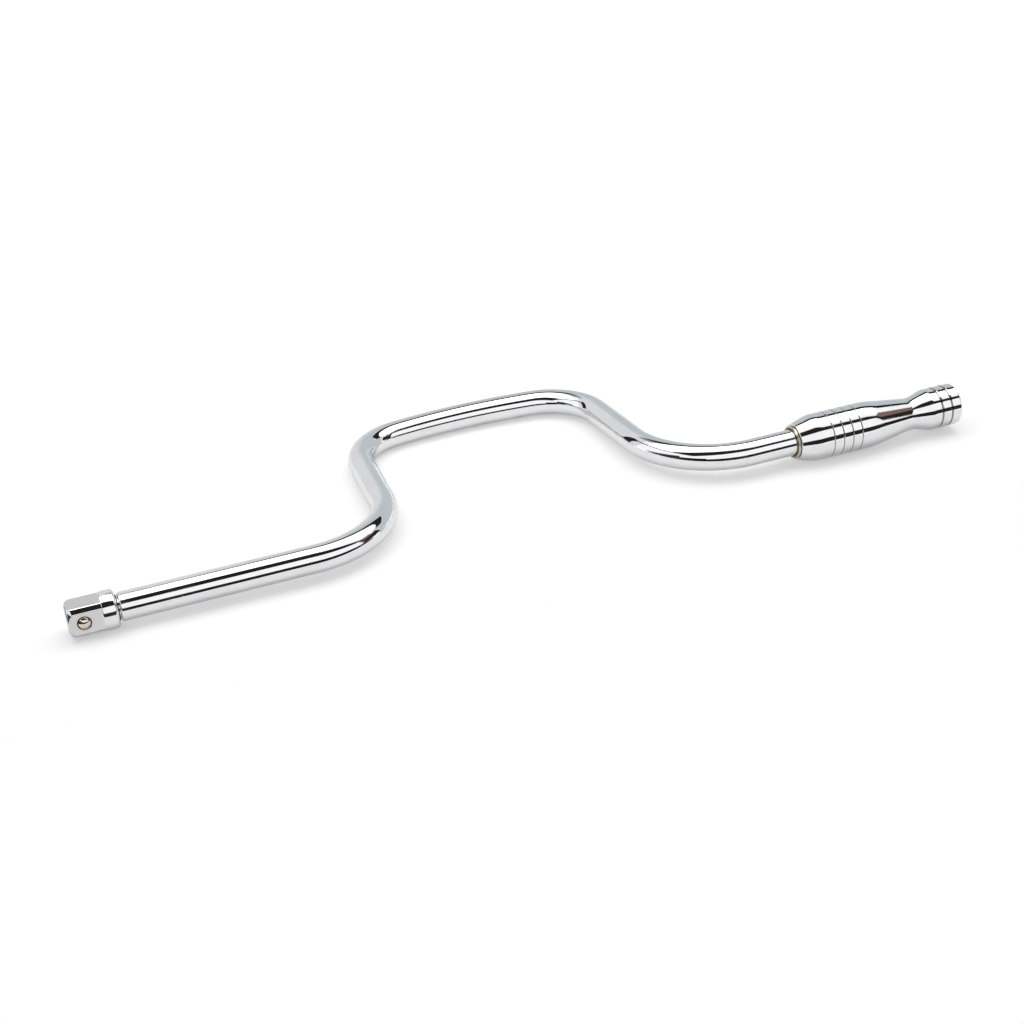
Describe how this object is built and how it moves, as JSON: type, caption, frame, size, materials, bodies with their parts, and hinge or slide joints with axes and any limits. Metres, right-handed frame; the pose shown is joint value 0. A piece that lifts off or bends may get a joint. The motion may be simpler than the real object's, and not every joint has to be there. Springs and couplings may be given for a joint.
{
  "type": "speed brace",
  "caption": "Cranked speed brace with a male drive square, a sprung detent ball and a free-turning metal grip.",
  "frame": {"origin": "centre of the drive square's end face, on the drive axis", "axes": "+X along the drive axis towards the grip, +Y the way the crank is thrown, +Z square to the crank's plane"},
  "size_m": [0.4067, 0.119, 0.0212],
  "materials": {
    "chrome": "polished chrome plate",
    "steel": "bright hardened steel",
    "bronze": "satin bearing bronze"
  },
  "bodies": {
    "brace": {"crank_bar": "chrome", "drive_head": "chrome", "detent_spring": "steel", "thrust_washer": "steel", "retaining_ring": "steel"},
    "grip": {"grip_sleeve": "chrome", "front_bush": "bronze", "rear_bush": "bronze", "end_cap": "chrome"},
    "ball": {"detent_ball": "steel"}
  },
  "joints": [
    {"name": "grip_spin", "type": "hinge", "parent": "brace", "child": "grip", "pos_m": [0.32386, 0, 0], "axis": [1, 0, 0], "continuous": true},
    {"name": "detent_press", "type": "slide", "parent": "brace", "child": "ball", "axis": [0, 1, 0], "range_m": [0, 0.0012], "stiffness_N_per_m": 1500, "springref_m": -0.001, "deforming": ["detent_spring"]}
  ]
}
